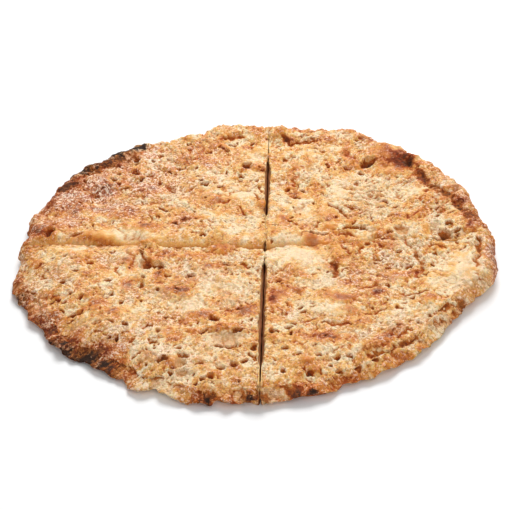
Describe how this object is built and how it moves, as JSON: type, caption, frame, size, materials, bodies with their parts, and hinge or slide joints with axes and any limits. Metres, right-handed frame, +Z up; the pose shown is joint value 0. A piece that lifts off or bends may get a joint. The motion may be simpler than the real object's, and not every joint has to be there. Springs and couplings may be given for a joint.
{
  "type": "tahini pide",
  "caption": "Round flat bread of sesame paste dough with a browned, pitted crust, cut crosswise into quarters that lie together.",
  "frame": {"origin": "on the surface that the bread lies on, under the middle of its outline", "axes": "+Z up through the bread's thickness, +Y to the back of the bread, +X to its right; one knife cut runs near the Y axis and the other near the X axis"},
  "size_m": [0.2446, 0.2384, 0.0136],
  "materials": {
    "crust": "baked, grainy, browned"
  },
  "bodies": {
    "root": {"quarter_back_right": "crust", "quarter_back_left": "crust", "quarter_front_left": "crust", "quarter_front_right": "crust"}
  },
  "joints": []
}
